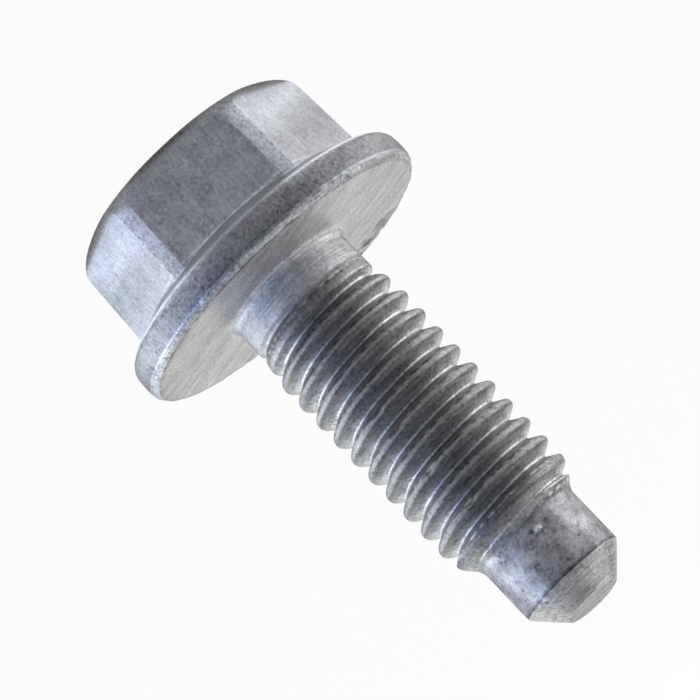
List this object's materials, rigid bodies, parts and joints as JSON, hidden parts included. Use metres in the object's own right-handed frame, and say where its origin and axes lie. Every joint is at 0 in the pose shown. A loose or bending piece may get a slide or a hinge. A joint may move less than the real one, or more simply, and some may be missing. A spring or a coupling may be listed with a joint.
{
  "type": "hex flange bolt",
  "caption": "Hex head bolt with a round flange, a short plain shank, a right-hand rolled thread and a plain pilot with a coned tip.",
  "frame": {"origin": "centre of the flat top of the head, on the axis of the bolt", "axes": "+Z along the axis from the head to the tip, +Y square to one flat of the hex, +X towards one corner of the hex; the bolt stands on its head"},
  "size_m": [0.0174, 0.0174, 0.0297],
  "materials": {
    "zinc_plated_steel": "clear bluish zinc plating, satin, with fine grain, scratches and small nicks"
  },
  "bodies": {
    "root": {"flange_bolt": "zinc_plated_steel"}
  },
  "joints": []
}
